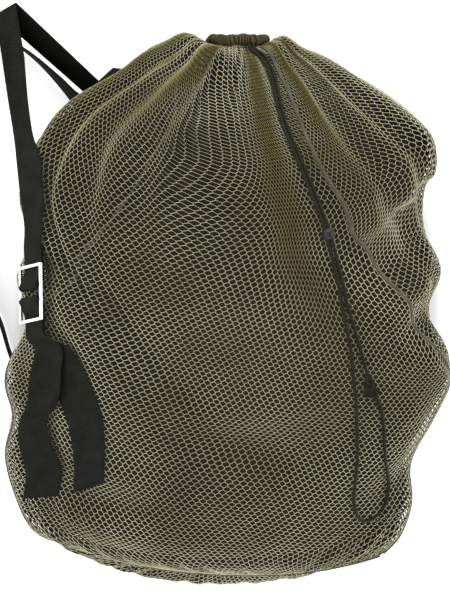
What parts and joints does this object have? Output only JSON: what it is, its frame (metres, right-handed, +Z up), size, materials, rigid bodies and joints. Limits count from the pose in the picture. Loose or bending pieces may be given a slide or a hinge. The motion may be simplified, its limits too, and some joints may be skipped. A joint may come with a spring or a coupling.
{
  "type": "mesh decoy bag",
  "caption": "Large drawstring sack of olive net with a cord lock and webbing shoulder straps, lying full on its back.",
  "frame": {"origin": "on the floor under the sack, in the flat patch that it rests on", "axes": "+Y from the bottom seam to the gathered mouth, +Z up from the floor through the sack's front, +X its right side seen from above"},
  "size_m": [0.6524, 0.7564, 0.3309],
  "materials": {
    "net": "knotted olive net, matt",
    "binding": "dark olive bound seam, matt",
    "webbing": "near-black olive woven webbing, slight sheen",
    "cord": "near-black braided cord",
    "lock": "smooth black plastic",
    "buckle": "bright polished metal"
  },
  "bodies": {
    "root": {"net_front": "net", "net_back": "net", "right_side_seam": "binding", "left_side_seam": "binding", "bottom_seam": "binding", "top_hem": "binding", "drawcord_long": "cord", "drawcord_short": "cord", "cord_lock": "lock", "cord_knot": "cord", "shoulder_strap_a": "webbing", "buckle_a": "buckle", "adjuster_strap_a": "webbing", "shoulder_strap_b": "webbing"}
  },
  "joints": []
}
